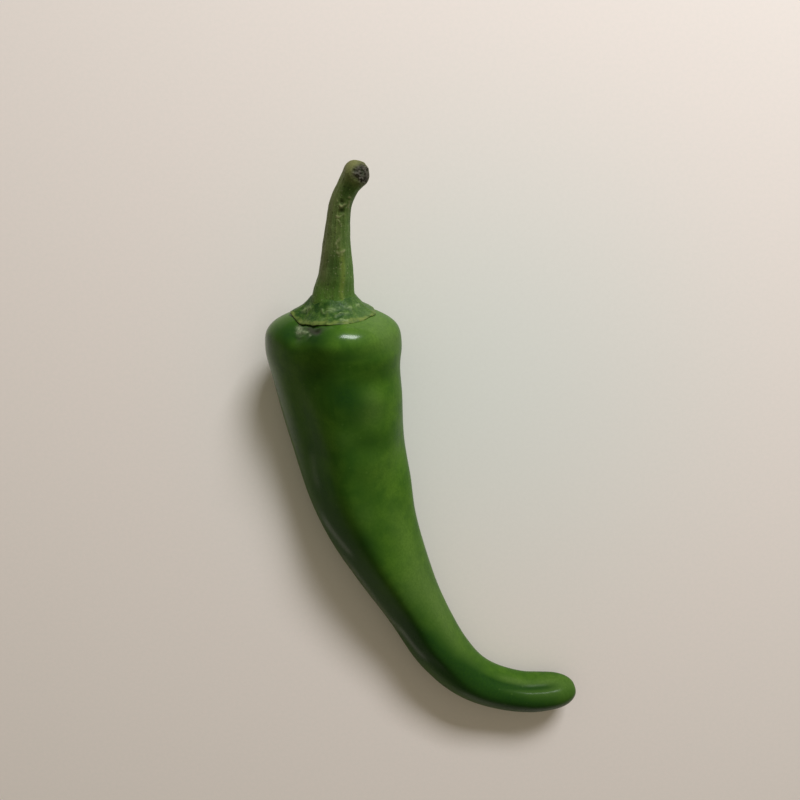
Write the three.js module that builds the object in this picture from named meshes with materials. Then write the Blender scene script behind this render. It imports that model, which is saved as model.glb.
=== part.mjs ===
// A green chili pepper, picked with its stalk and lying on its side.
//
// Frame: millimetres, +Z up. The pepper lies on the plane z = 0 with its stalk towards +Y and its
// pointed end curling towards +X. The origin is the middle of its footprint.
//
// Three grown organs make it: the pod, the calyx that caps the pod's shoulders, and the stalk.
// Each is an outline turned round a curved middle line, with a lobed or ribbed section.

import * as THREE from 'three';

// Driving dimensions, in millimetres
const GAP = 0.3; // clearance between one organ and the next
const CALYX_CROWN = 1.0; // thickness of the calyx under the stalk
const CALYX_EDGE = 0.55; // thickness of the calyx at its rim
const CALYX_REACH = 8.1; // from the middle of the calyx to its rim, measured over the shoulder
const CALYX_SCALLOP = 0.25; // depth of the shallow waves between the rim's teeth

// Shape of the sections
const POD_LOBES = 3;
const POD_LOBE_DEPTH = 0.065; // lobe height as a share of the half width
const POD_RIDGE = THREE.MathUtils.degToRad(97); // angle of the upper ridge, from +X towards +Z
const POD_FLATNESS = 0.88; // height of a section as a share of its width
const CALYX_TEETH = 5;
const STALK_RIBS = 5;
const STALK_RIB_DEPTH = 0.035; // rib height as a share of the half width
const STALK_RIB_TURN = THREE.MathUtils.degToRad(110); // angle of the first rib

// Mesh resolution
const POD_SIDES = 48;
const POD_RINGS = 60;
const CALYX_SIDES = 50;
const CALYX_STEPS = 7;
const STALK_SIDES = 30;
const STALK_RINGS = 30;

// Middle line of the pod, from under the calyx to the pointed end
const podRoute = [
  [-18.8, 31.2, 13.6],
  [-18.9, 27.4, 12.3],
  [-19.0, 23.6, 11.3],
  [-18.8, 19.5, 10.6],
  [-18.3, 15.3, 10.2],
  [-16.7, 6.3, 9.4],
  [-13.8, -7.5, 8.4],
  [-8.9, -20.2, 6.5],
  [-2.6, -32.1, 5.1],
  [3.1, -42.4, 4.5],
  [10.0, -48.7, 3.9],
  [20.4, -51.9, 3.7],
  [32.2, -50.3, 4.6],
];

// Half width of the pod against distance along its middle line
const podProfile = [
  [0.0, 0.0],
  [0.4, 4.6],
  [2.0, 9.0],
  [4.4, 12.2],
  [8.0, 13.4],
  [12.5, 12.9],
  [19.0, 12.2],
  [27.0, 11.3],
  [37.0, 10.6],
  [46.0, 9.3],
  [56.0, 7.6],
  [66.0, 6.3],
  [77.0, 5.7],
  [88.0, 4.8],
  [99.0, 4.2],
  [107.0, 3.6],
  [110.2, 2.3],
  [111.2, 0.0],
];

// Middle line of the stalk past the stretch that stands square on the calyx
const stalkRoute = [
  [-18.2, 37.5, 16.0],
  [-17.6, 43.7, 18.7],
  [-16.4, 50.0, 21.9],
  [-15.0, 52.7, 24.0],
  [-13.4, 54.5, 26.1],
];

// Half width of the stalk against distance from the calyx
const stalkProfile = [
  [0.0, 4.5],
  [1.2, 4.2],
  [3.0, 3.5],
  [5.5, 2.95],
  [9.0, 2.7],
  [13.0, 2.3],
  [17.0, 1.95],
  [21.0, 1.85],
  [24.0, 2.15],
  [26.2, 2.35],
  [27.0, 1.7],
];

const pairs = (list) => list.map(([x, y]) => new THREE.Vector2(x, y));
const triples = (list) => list.map(([x, y, z]) => new THREE.Vector3(x, y, z));

// A middle line with a frame at every distance. It runs on straight before its first point.
class Spine {
  constructor(points) {
    this.curve = new THREE.CatmullRomCurve3(points, false, 'centripetal');
    this.length = this.curve.getLength();
  }

  // The point at a distance along the line and an offset to its side and upwards
  place(distance, sideways, upwards) {
    const share = THREE.MathUtils.clamp(distance / this.length, 0, 1);
    const along = this.curve.getTangentAt(share);
    const side = new THREE.Vector3(0, 0, 1).cross(along).normalize();
    const up = new THREE.Vector3().crossVectors(along, side);
    return this.curve
      .getPointAt(share)
      .addScaledVector(along, Math.min(distance, 0))
      .addScaledVector(side, sideways)
      .addScaledVector(up, upwards);
  }
}

const lobed = (angle, count, depth, ridge) => 1 + depth * Math.cos(count * (angle - ridge));

// Turns an outline round a straight axis, then moves each point of it to where it has grown.
// The outline's x is a distance from the axis and its y a distance along it.
function grow(outline, sides, pointAt) {
  const geometry = new THREE.LatheGeometry(outline, sides);
  const position = geometry.getAttribute('position');
  for (let i = 0; i < position.count; i += 1) {
    const turned = new THREE.Vector3().fromBufferAttribute(position, i);
    const radius = Math.hypot(turned.x, turned.z);
    const point = pointAt(turned.y, radius, Math.atan2(turned.x, turned.z));
    position.setXYZ(i, point.x, point.y, point.z);
  }
  geometry.computeVertexNormals();
  return geometry;
}

function organ(name, geometry, color, roughness) {
  const material = new THREE.MeshStandardMaterial({ color, roughness, metalness: 0 });
  const mesh = new THREE.Mesh(geometry, material);
  mesh.name = name;
  return mesh;
}

// Pod
const podSpine = new Spine(triples(podRoute));
const podOutline = new THREE.SplineCurve(pairs(podProfile));

// A point over the pod's skin. The underside is pressed flat where it meets the table.
function podPoint(distance, radius, angle) {
  const reach = radius * lobed(angle, POD_LOBES, POD_LOBE_DEPTH, POD_RIDGE);
  const upwards = reach * Math.sin(angle) * POD_FLATNESS;
  const point = podSpine.place(distance, reach * Math.cos(angle), upwards);
  point.z = Math.max(point.z, 0);
  return point;
}

function podGeometry() {
  const outline = podOutline.getPoints(POD_RINGS).map(({ x, y }) => new THREE.Vector2(y, x));
  return grow(outline, POD_SIDES, podPoint);
}

// Calyx: it follows the pod's shoulder at a fixed clearance, thickest under the stalk.
// share runs from 0 in its middle to 1 at its rim; lift is the height over the pod's skin.
function calyxPoint(lift, share, angle) {
  const scallop = CALYX_SCALLOP * Math.cos(CALYX_TEETH * (angle - POD_RIDGE)) * share ** 2;
  const travel = (share * (CALYX_REACH + scallop)) / podOutline.getLength();
  const skin = podOutline.getPointAt(travel);
  const slope = podOutline.getTangentAt(travel);
  const radius = share === 0 ? 0 : skin.y + slope.x * lift;
  return podPoint(skin.x - slope.y * lift, radius, angle);
}

function calyxGeometry() {
  const steps = Array.from({ length: CALYX_STEPS + 1 }, (_, i) => i / CALYX_STEPS);
  const thickness = (share) => THREE.MathUtils.lerp(CALYX_CROWN, CALYX_EDGE, share ** 2);
  const over = steps.map((share) => new THREE.Vector2(share, GAP + thickness(share)));
  const under = steps.map((share) => new THREE.Vector2(share, GAP)).reverse();
  return grow([...over, ...under], CALYX_SIDES, calyxPoint);
}

// Stalk: it stands square on the middle of the calyx, rises and curls over at its cut end
const stalkSeat = GAP + CALYX_CROWN + GAP;
const stalkSpine = new Spine([
  podSpine.place(-stalkSeat, 0, 0),
  podSpine.place(-stalkSeat - 3, 0, 0),
  ...triples(stalkRoute),
]);

function stalkPoint(distance, radius, angle) {
  const reach = radius * lobed(angle, STALK_RIBS, STALK_RIB_DEPTH, STALK_RIB_TURN);
  return stalkSpine.place(distance, reach * Math.cos(angle), reach * Math.sin(angle));
}

function stalkGeometry() {
  const foot = new THREE.Vector2(0, 0);
  const tip = new THREE.Vector2(stalkProfile.at(-1)[0], 0);
  const wall = new THREE.SplineCurve(pairs(stalkProfile)).getPoints(STALK_RINGS);
  const stretch = stalkSpine.length / tip.x;
  const outline = [foot, ...wall, tip].map(({ x, y }) => new THREE.Vector2(y, x * stretch));
  return grow(outline, STALK_SIDES, stalkPoint);
}

const chili = new THREE.Group();
chili.add(organ('pod', podGeometry(), 0x3c6318, 0.3));
chili.add(organ('calyx', calyxGeometry(), 0x475f2a, 0.5));
chili.add(organ('stalk', stalkGeometry(), 0x4e6132, 0.6));

export default chili;
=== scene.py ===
# %% [markdown]
# # A green chili pepper
#
# A pepper that was picked with its stalk lies on its side on a sheet of pale paper. It has three
# organs: the fleshy pod, the leafy calyx that caps the pod's shoulders, and the stalk.
# A CAD model already holds their true size and place, so the lesson starts by loading it as a
# fixed frame. Each organ is then grown again with far more detail, in the very same place.

# %% Load the frame
import math

import bpy
import numpy as np
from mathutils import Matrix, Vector, noise


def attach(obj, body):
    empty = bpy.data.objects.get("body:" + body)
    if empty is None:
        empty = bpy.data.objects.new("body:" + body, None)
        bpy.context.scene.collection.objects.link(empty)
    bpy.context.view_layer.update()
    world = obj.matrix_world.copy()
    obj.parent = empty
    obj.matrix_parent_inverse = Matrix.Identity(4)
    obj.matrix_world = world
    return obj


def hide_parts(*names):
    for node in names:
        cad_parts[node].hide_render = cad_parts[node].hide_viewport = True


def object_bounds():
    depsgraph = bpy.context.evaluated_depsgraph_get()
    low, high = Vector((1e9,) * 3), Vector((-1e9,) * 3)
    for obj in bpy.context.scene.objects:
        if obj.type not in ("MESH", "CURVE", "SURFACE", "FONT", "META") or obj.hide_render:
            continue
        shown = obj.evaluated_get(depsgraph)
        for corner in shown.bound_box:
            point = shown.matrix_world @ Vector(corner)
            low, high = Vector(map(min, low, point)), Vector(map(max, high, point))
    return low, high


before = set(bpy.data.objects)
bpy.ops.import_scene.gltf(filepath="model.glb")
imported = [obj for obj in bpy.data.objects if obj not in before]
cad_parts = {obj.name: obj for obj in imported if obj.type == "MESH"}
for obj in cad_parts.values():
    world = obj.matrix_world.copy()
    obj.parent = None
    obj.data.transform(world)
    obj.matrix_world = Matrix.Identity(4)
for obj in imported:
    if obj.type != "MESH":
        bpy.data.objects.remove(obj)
cad_low, cad_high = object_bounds()
cad_centre = (cad_low + cad_high) / 2
MM = 0.001  # one millimetre, in Blender's metres
print("the frame's size in mm:", [round(side / MM, 1) for side in cad_high - cad_low])

# %% [markdown]
# ## Camera
#
# The pepper is seen from almost straight above, the way a cook holds a phone over a table. At that
# short distance a lens of normal width makes the raised shoulders look bigger than the thin end,
# and the small tilt shows a little of the calyx's top. Both matter more to the likeness than any
# texture, so the camera is settled first.

# %% Place the camera
VIEW_TILT = math.radians(6.5)  # how far the view leans back from straight down
VIEW_DISTANCE = 138 * MM
VIEW_OFFSET = Vector((-5.95, 13.2, -3.7)) * MM  # from the pepper's middle to what the lens points at
SENSOR_WIDTH = 36
LENS_LENGTH = 31.05

look_at = cad_centre + VIEW_OFFSET
lens = bpy.data.cameras.new("camera")
lens.sensor_width = SENSOR_WIDTH
lens.lens = LENS_LENGTH
lens.clip_start = 10 * MM
camera = bpy.data.objects.new("camera", lens)
camera.location = look_at + Vector((0, math.sin(VIEW_TILT), math.cos(VIEW_TILT))) * VIEW_DISTANCE
camera.rotation_euler = (-VIEW_TILT, 0, 0)
bpy.context.collection.objects.link(camera)
bpy.context.scene.camera = camera
print("the camera is", round(camera.location.z / MM), "mm above the table")

# %% [markdown]
# ## Light
#
# One window-like lamp stands beyond the stalk. Its size sets how soft the shadow's edge is: seen
# from the pepper it is about twenty degrees wide, so the shadow starts crisp under the skin and
# melts away within a finger's width. A dim sky, brighter on the lamp's side, keeps the shaded side
# from going black.

# %% Set up one soft lamp and a dim sky
LAMP_DIRECTION = Vector((0.31, 0.77, 0.55)).normalized()
LAMP_DISTANCE = 0.58
LAMP_WIDTH = 0.22
LAMP_HEIGHT = 0.12
LAMP_POWER = 3.15  # in watts
LAMP_COLOUR = (0.94, 0.98, 1.0)
SKY_COLOUR = (1.0, 0.94, 0.69, 1.0)
SKY_STRENGTH = 0.195
SKY_LEAN = 0.7  # how much brighter the sky is on the lamp's side, and dimmer away from it

softbox = bpy.data.lights.new("softbox", "AREA")
softbox.shape = "RECTANGLE"
softbox.size = LAMP_WIDTH
softbox.size_y = LAMP_HEIGHT
softbox.energy = LAMP_POWER
softbox.color = LAMP_COLOUR
lamp = bpy.data.objects.new("softbox", softbox)
lamp.location = cad_centre + LAMP_DIRECTION * LAMP_DISTANCE
lamp.rotation_euler = LAMP_DIRECTION.to_track_quat("Z", "Y").to_euler()
bpy.context.collection.objects.link(lamp)

sky = bpy.data.worlds.new("sky")
sky.use_nodes = True
sky_nodes = sky.node_tree.nodes
background = sky_nodes["Background"]
background.inputs["Color"].default_value = SKY_COLOUR
towards_lamp = sky_nodes.new("ShaderNodeVectorMath")
towards_lamp.operation = "DOT_PRODUCT"
towards_lamp.inputs[1].default_value = LAMP_DIRECTION * SKY_LEAN * SKY_STRENGTH
strength = sky_nodes.new("ShaderNodeMath")
strength.inputs[1].default_value = SKY_STRENGTH
direction = sky_nodes.new("ShaderNodeTexCoord").outputs["Generated"]
sky.node_tree.links.new(direction, towards_lamp.inputs[0])
sky.node_tree.links.new(towards_lamp.outputs["Value"], strength.inputs[0])
sky.node_tree.links.new(strength.outputs[0], background.inputs["Strength"])
bpy.context.scene.world = sky
bpy.context.scene.view_settings.view_transform = "Standard"
apparent = math.degrees(2 * math.atan(LAMP_WIDTH / 2 / LAMP_DISTANCE))
print("the lamp looks", round(apparent), "degrees wide from the pepper")

# %% [markdown]
# ## Node helpers
#
# Geometry trees and materials are both built in code here. Short helpers keep that readable: `add`
# makes a node, sets its options and fills its inputs, and `calc` is the same for one step of
# arithmetic. A node tree then reads like a formula from top to bottom.

# %% Helpers for node trees
def add(tree, kind, feeds=None, **options):
    """Adds a node, sets its options, and feeds its inputs with values or with other outputs."""
    made = tree.nodes.new(kind)
    for option, value in options.items():
        setattr(made, option, value)
    for key, value in (feeds or {}).items():
        if isinstance(value, bpy.types.NodeSocket):
            tree.links.new(value, made.inputs[key])
        else:
            made.inputs[key].default_value = value
    return made


def calc(tree, operation, *values):
    """The result of one Math node."""
    return add(tree, "ShaderNodeMath", dict(enumerate(values)), operation=operation).outputs[0]


def vector_calc(tree, operation, *values):
    """The result of one Vector Math node."""
    made = add(tree, "ShaderNodeVectorMath", dict(enumerate(values)), operation=operation)
    return made.outputs[0]


def scaled(tree, vector, factor):
    """A vector times a number."""
    made = add(tree, "ShaderNodeVectorMath", {0: vector, "Scale": factor}, operation="SCALE")
    return made.outputs[0]


def new_tree(name, kind, inputs, outputs):
    """An empty node tree with named sockets. Returns it with its input and output nodes."""
    tree = bpy.data.node_groups.new(name, kind)
    for title, socket, value in inputs:
        made = tree.interface.new_socket(title, in_out="INPUT", socket_type="NodeSocket" + socket)
        if value is not None:
            made.default_value = value
    for title, socket in outputs:
        tree.interface.new_socket(title, in_out="OUTPUT", socket_type="NodeSocket" + socket)
    return tree, tree.nodes.new("NodeGroupInput").outputs, tree.nodes.new("NodeGroupOutput").inputs


# %% [markdown]
# ## Middle lines and outlines
#
# A pepper has no straight axis, so each organ gets a middle line: a few points that a smooth curve
# passes through. Its outline is a second curve, the half width against the distance along the
# middle line. The points are the driving dimensions of the whole pepper, in millimetres, and the
# curve between them is a centripetal spline, which never loops or overshoots.

# %% Smooth curves through a few points
STEPS = 24  # points of a smooth curve between two given ones


def smooth(points):
    """A centripetal spline through the points, as an array of close points."""
    p = np.array(points, float)
    p = np.vstack([2 * p[0] - p[1], p, 2 * p[-1] - p[-2]])
    curve = []
    for a, b, c, d in zip(p, p[1:], p[2:], p[3:]):
        knots = np.cumsum([0] + [np.linalg.norm(q) ** 0.5 for q in (b - a, c - b, d - c)])
        t = np.linspace(knots[1], knots[2], STEPS, endpoint=False)[:, None]

        def blend(first, last, low, high):
            return ((high - t) * first + (t - low) * last) / (high - low)

        ab, bc, cd = (blend(*ends, *knots[i:i + 2]) for i, ends in enumerate([(a, b), (b, c), (c, d)]))
        abc, bcd = blend(ab, bc, knots[0], knots[2]), blend(bc, cd, knots[1], knots[3])
        curve.append(blend(abc, bcd, knots[1], knots[2]))
    return np.vstack(curve + [p[-2]])


def line_object(name, points, turns=((0, 0), (1, 0)), heights=((0, 1), (1, 1))):
    """A smooth curve through points in millimetres, as a hidden guide for a geometry tree.
    turns gives how far a section is turned round it, in degrees, and heights its height as a
    share of its width, each at a few distances along the curve."""
    places = smooth(points) * MM
    places = np.pad(places, ((0, 0), (0, 3 - places.shape[1])))
    line = bpy.data.curves.new(name, "CURVE")
    line.dimensions = "3D"
    spline = line.splines.new("POLY")
    spline.points.add(len(places) - 1)
    spline.points.foreach_set("co", np.pad(places, ((0, 0), (0, 1))).ravel())
    steps = np.linalg.norm(np.diff(places, axis=0), axis=1)
    distances = np.concatenate([[0], np.cumsum(steps)]) / MM
    spline.points.foreach_set("tilt", np.radians(np.interp(distances, *smooth(turns).T)))
    spline.points.foreach_set("radius", np.interp(distances, *smooth(heights).T))
    made = bpy.data.objects.new(name, line)
    bpy.context.collection.objects.link(made)
    return made


# %% The pod's middle line and outline
POD_ROUTE = [
    (-18.8, 31.2, 13.6), (-18.8, 27.4, 12.3), (-18.7, 23.5, 11.3), (-18.4, 19.4, 10.6),
    (-17.9, 15.2, 10.15), (-16.55, 6.3, 9.45), (-13.95, -7.5, 8.7), (-8.8, -20.3, 7.5),
    (-2.5, -32.1, 6.4), (3.5, -42.1, 6.0), (10.4, -48.4, 5.4), (20.6, -51.65, 4.7),
    (32.3, -50.7, 4.8),
]
# How far the ridges turn, in degrees, and the height as a share of the width, along the middle line
POD_TURNS = [(0, -16), (14, -30), (26, -22), (38, 0), (52, -4), (70, -6), (112, -20)]
POD_HEIGHTS = [(0, 0.88), (20, 0.88), (45, 0.93), (62, 1.05), (90, 1.04), (112, 1.0)]
POD_OUTLINE = [  # distance, half width, and the share of it past which the flank is pressed flat
    (0.0, 0.0, 0.9), (0.4, 4.6, 0.9), (2.0, 9.4, 0.9), (4.4, 12.6, 0.85), (8.0, 13.6, 0.8),
    (12.5, 13.1, 0.75), (19.0, 12.4, 0.73), (27.0, 11.5, 0.75), (37.0, 10.6, 0.77), (46.0, 9.35, 0.78),
    (56.0, 7.8, 0.8), (66.0, 6.5, 0.82), (77.0, 5.8, 0.86), (88.0, 4.85, 0.94), (99.0, 4.2, 1.05),
    (104.0, 4.0, 1.1), (107.5, 3.55, 1.1), (109.6, 2.7, 1.1), (110.8, 1.5, 1.1), (111.2, 0.0, 1.1),
]
pod_spine = line_object("pod_spine", POD_ROUTE, POD_TURNS, POD_HEIGHTS)
pod_length = sum(s.calc_length() for s in pod_spine.data.splines) / MM
last_ring = POD_OUTLINE[-1][0]
POD_OUTLINE = [(distance * pod_length / last_ring, *rest) for distance, *rest in POD_OUTLINE]
pod_outline = line_object("pod_outline", POD_OUTLINE)
print("the pod is", round(pod_length, 1), "mm long, and its outline was drawn for", last_ring)

# %% [markdown]
# ## A tree that grows a lobed organ
#
# The pod and the stalk are the same kind of shape: a section with a few lobes or ribs that travels
# along a middle line while its half width follows an outline. That is a rule, so Geometry Nodes
# make it: a flat grid is rolled up, with its columns going round the organ and its rows along it.
# A sculpted mesh would look as good once, but here every size stays a named input.
#
# The place of one point is a formula that the calyx needs too, so it is a node group of its own.

# %% The place of one point of a lobed section
def pressed_flat_tree():
    """Presses one side of a section flat: no point lies further out that way than the limit."""
    tree, given, result = new_tree(
        "pressed_flat", "GeometryNodeTree",
        [("Sideways", "Float", 0.0), ("Upwards", "Float", 0.0), ("Direction", "Float", 0.0),
         ("Limit", "Float", 1.0), ("Softness", "Float", 0.1)],
        [("Sideways", "Float"), ("Upwards", "Float")],
    )
    across, over = (calc(tree, turn, given["Direction"]) for turn in ("COSINE", "SINE"))
    out = calc(tree, "ADD", calc(tree, "MULTIPLY", given["Sideways"], across),
               calc(tree, "MULTIPLY", given["Upwards"], over))
    excess = calc(tree, "SMOOTH_MAX", calc(tree, "SUBTRACT", out, given["Limit"]), 0.0, given["Softness"])
    for name, share in (("Sideways", across), ("Upwards", over)):
        kept = calc(tree, "SUBTRACT", given[name], calc(tree, "MULTIPLY", excess, share))
        tree.links.new(kept, result[name])
    return tree


NOT_PRESSED = 1.1  # a limit past the section's edge, as a share of the half width
ROUND_AGAIN = 0.4  # how much further than that the limit grows towards the pod's end
SECTION_INPUTS = [
    ("Lobes", "Float", 3.0), ("Lobe Depth", "Float", 0.0), ("Ridge", "Float", 0.0),
    ("Flank", "Float", 0.0), ("Flank Reach", "Float", 9.0),
    ("Crown", "Float", 0.0), ("Crown Reach", "Float", 9.0), ("Softness", "Float", 0.1),
    ("Press Length", "Float", 0.001), ("Round From", "Float", 9.0),
]


def section_point_tree():
    """Distance along the spine, half width and angle round it, turned into a place."""
    tree, given, result = new_tree(
        "section_point", "GeometryNodeTree",
        [("Spine", "Geometry", None), ("Distance", "Float", 0.0), ("Half Width", "Float", 0.0),
         ("Angle", "Float", 0.0), *SECTION_INPUTS],
        [("Place", "Vector"), ("Grown", "Vector")],
    )

    def on_spine(value):
        made = add(tree, "GeometryNodeSampleCurve",
                   {"Curves": given["Spine"], "Length": given["Distance"], "Value": value},
                   mode="LENGTH", use_all_curves=True)
        return made.outputs

    tilt = on_spine(tree.nodes.new("GeometryNodeInputCurveTilt").outputs[0])[0]
    height = on_spine(tree.nodes.new("GeometryNodeInputRadius").outputs[0])[0]
    ridge = calc(tree, "ADD", given["Ridge"], tilt)
    turn = calc(tree, "MULTIPLY", calc(tree, "SUBTRACT", given["Angle"], ridge), given["Lobes"])
    swell = calc(tree, "MULTIPLY", calc(tree, "COSINE", turn), given["Lobe Depth"])
    reach = calc(tree, "MULTIPLY", given["Half Width"], calc(tree, "ADD", swell, 1.0))
    sideways = calc(tree, "MULTIPLY", reach, calc(tree, "COSINE", given["Angle"]))
    steepness = calc(tree, "MULTIPLY", calc(tree, "SINE", given["Angle"]), height)
    upwards = calc(tree, "MULTIPLY", reach, steepness)

    def fading(first, last, start=0.0):
        made = add(tree, "ShaderNodeMapRange",
                   {"Value": calc(tree, "SUBTRACT", given["Distance"], start),
                    "From Max": given["Press Length"], "To Min": first, "To Max": last},
                   interpolation_type="SMOOTHSTEP")
        return calc(tree, "MULTIPLY", given["Half Width"], made.outputs[0])

    softness = calc(tree, "MULTIPLY", given["Half Width"], given["Softness"])
    for part in ("Flank", "Crown"):
        pressed = add(tree, "GeometryNodeGroup", node_tree=pressed_flat)
        limit = calc(tree, "MULTIPLY", given["Half Width"], given["Flank Reach"])
        if part == "Crown":
            limit = fading(NOT_PRESSED, given["Crown Reach"])
            limit = calc(tree, "ADD", limit, fading(0.0, ROUND_AGAIN, given["Round From"]))
        for value, socket in zip((sideways, upwards, given[part], limit, softness), pressed.inputs):
            tree.links.new(value, socket)
        sideways, upwards = pressed.outputs

    spine = on_spine(0.0)
    side = vector_calc(tree, "NORMALIZE", vector_calc(tree, "CROSS_PRODUCT", (0, 0, 1), spine["Tangent"]))
    up = vector_calc(tree, "CROSS_PRODUCT", spine["Tangent"], side)
    place = vector_calc(tree, "ADD", spine["Position"], scaled(tree, side, sideways))
    place = vector_calc(tree, "ADD", place, scaled(tree, up, upwards))
    grown = add(tree, "ShaderNodeCombineXYZ", {0: sideways, 1: upwards, 2: given["Distance"]})
    tree.links.new(place, result["Place"])
    tree.links.new(grown.outputs[0], result["Grown"])
    return tree


pressed_flat = pressed_flat_tree()
section_point = section_point_tree()
print("the group for one point of a section has", len(section_point.nodes), "nodes")

# %% [markdown]
# The rolled grid keeps two records of how it grew, for the sculpting and the materials that come
# later. The attribute `grown` is where a point would be if the organ were straight, so a pattern
# that reads it bends with the organ and has no seam. The UV map holds the turn and the row.

# %% Shared steps: a rolled grid, and its closed and finished mesh
def rolled_grid(tree, given):
    """A grid with a column for each side and a row for each ring. Returns it with the angle round
    the organ of each point, and the column and the row of each as shares from 0 to 1."""
    columns = calc(tree, "ADD", given["Sides"], 1.0)
    rows = calc(tree, "ADD", given["Rings"], 1.0)
    grid = add(tree, "GeometryNodeMeshGrid",
               {"Size X": 1.0, "Size Y": 1.0, "Vertices X": columns, "Vertices Y": rows})
    at = add(tree, "ShaderNodeSeparateXYZ", {0: tree.nodes.new("GeometryNodeInputPosition").outputs[0]})
    turn = calc(tree, "ADD", at.outputs["X"], 0.5)
    share = calc(tree, "ADD", at.outputs["Y"], 0.5)
    return grid.outputs["Mesh"], calc(tree, "MULTIPLY", turn, math.tau), turn, share


def keep(tree, mesh, name, value, data_type, domain):
    """Stores a value on the mesh under a name."""
    made = add(tree, "GeometryNodeStoreNamedAttribute", {"Geometry": mesh, "Name": name, "Value": value},
               data_type=data_type, domain=domain)
    return made.outputs["Geometry"]


def keep_growth(tree, mesh, grown, turn, share):
    """Stores both records on the mesh: the place on a straight organ, and the UV map."""
    mesh = keep(tree, mesh, "grown", grown, "FLOAT_VECTOR", "POINT")
    uv = add(tree, "ShaderNodeCombineXYZ", {0: turn, 1: share}).outputs[0]
    return keep(tree, mesh, "UVMap", uv, "FLOAT2", "CORNER")


def guides(tree, given, *names):
    """The geometry of the objects that the tree is given under these names."""
    made = [add(tree, "GeometryNodeObjectInfo", {"Object": given[name]}) for name in names]
    return [info.outputs["Geometry"] for info in made]


def along(tree, curve, way, value):
    """The point of a curve at a share of it (FACTOR) or at a distance along it (LENGTH)."""
    made = add(tree, "GeometryNodeSampleCurve", {"Curves": curve, way.title(): value},
               mode=way, use_all_curves=True)
    return made.outputs["Position"]


def point_of_section(tree, given, spine, outline_point, angle):
    """The outputs of the section_point group, for a point of the outline and an angle."""
    size = add(tree, "ShaderNodeSeparateXYZ", {0: outline_point}).outputs
    values = {name: given[name] for name, socket, value in SECTION_INPUTS}
    values.update({"Spine": spine, "Distance": size["X"], "Half Width": size["Y"], "Angle": angle})
    values["Flank Reach"] = calc(tree, "DIVIDE", size["Z"], MM)
    return add(tree, "GeometryNodeGroup", values, node_tree=section_point).outputs


def close_and_finish(tree, mesh, material, result):
    """Welds the seam and the poles, smooths the shading and sets the material."""
    welded = add(tree, "GeometryNodeMergeByDistance", {"Geometry": mesh, "Distance": 0.002 * MM})
    shaded = add(tree, "GeometryNodeSetShadeSmooth", {"Geometry": welded.outputs[0]})
    real = add(tree, "GeometryNodeRealizeInstances", {0: shaded.outputs[0]})
    dressed = add(tree, "GeometryNodeSetMaterial", {"Geometry": real.outputs[0], "Material": material})
    tree.links.new(dressed.outputs[0], result["Geometry"])


# %% The tree for pod and stalk
def lobed_sweep_tree():
    """A closed organ with lobes or ribs, grown along a spine."""
    tree, given, result = new_tree(
        "lobed_sweep", "GeometryNodeTree",
        [("Spine", "Object", None), ("Outline", "Object", None), ("Material", "Material", None),
         ("Rings", "Int", 100), ("Sides", "Int", 48), *SECTION_INPUTS,
         ("Swell Height", "Float", 0.0), ("Swell Length", "Float", 0.01), ("Seed", "Float", 0.0)],
        [("Geometry", "Geometry")],
    )
    mesh, angle, turn, share = rolled_grid(tree, given)
    spine, outline = guides(tree, given, "Spine", "Outline")
    point = point_of_section(tree, given, spine, along(tree, outline, "FACTOR", share), angle)
    mesh = keep_growth(tree, mesh, point["Grown"], turn, share)
    placed = add(tree, "GeometryNodeSetPosition", {"Geometry": mesh, "Position": point["Place"]})
    lumps = add(tree, "ShaderNodeTexNoise",
                {"Scale": calc(tree, "DIVIDE", 1.0, given["Swell Length"]), "W": given["Seed"],
                 "Detail": 1.5, "Roughness": 0.4},
                noise_dimensions="4D")
    lift = calc(tree, "MULTIPLY", calc(tree, "SUBTRACT", lumps.outputs[0], 0.5), given["Swell Height"])
    normal = tree.nodes.new("GeometryNodeInputNormal").outputs[0]
    swollen = add(tree, "GeometryNodeSetPosition",
                  {"Geometry": placed.outputs[0], "Offset": scaled(tree, normal, lift)})
    close_and_finish(tree, swollen.outputs[0], given["Material"], result)
    return tree


lobed_sweep = lobed_sweep_tree()
print("the sweep tree has", len(lobed_sweep.nodes), "nodes")

# %% Run a tree and keep its result as a plain mesh
def grow(name, tree, values):
    """An object whose mesh is what the tree makes from the named values."""
    piece = bpy.data.objects.new(name, bpy.data.meshes.new(name))
    bpy.context.collection.objects.link(piece)
    growth = piece.modifiers.new("growth", "NODES")
    growth.node_group = tree
    for socket in tree.interface.items_tree:
        if socket.item_type == "SOCKET" and socket.in_out == "INPUT" and socket.name in values:
            growth[socket.identifier] = values[socket.name]
    bpy.context.view_layer.update()
    graph = bpy.context.evaluated_depsgraph_get()
    mesh = bpy.data.meshes.new_from_object(
        piece.evaluated_get(graph), preserve_all_data_layers=True, depsgraph=graph)
    mesh.name = name
    piece.modifiers.clear()
    piece.data = mesh
    print(name, "has", len(mesh.vertices), "vertices and", len(mesh.polygons), "faces")
    return piece


# %% [markdown]
# ## The pod
#
# A chili's section is a rounded triangle, because three seed walls grow inside it. One of the three
# ridges runs up the top, and it parts the lit side from the shaded one. The skin is never even
# either: it swells a little between its walls, which the tree's noise gives with a fixed seed.

# %% Grow the pod
pod_skin, calyx_leaf, stalk_bark = (
    bpy.data.materials.new(name) for name in ("pod_skin", "calyx_leaf", "stalk_bark"))
POD_SHAPE = {
    "Lobes": 3.0, "Lobe Depth": 0.065, "Ridge": math.radians(97),
    "Flank": math.radians(135), "Crown": math.radians(70), "Crown Reach": 0.9,
    "Softness": 0.5, "Press Length": 42 * MM, "Round From": 36 * MM,
}
pod = grow("pod_fruit", lobed_sweep, {
    "Spine": pod_spine, "Outline": pod_outline, "Material": pod_skin, "Rings": 400, "Sides": 192,
    "Swell Height": 0.5 * MM, "Swell Length": 13 * MM, "Seed": 3.0, **POD_SHAPE,
})

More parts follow.
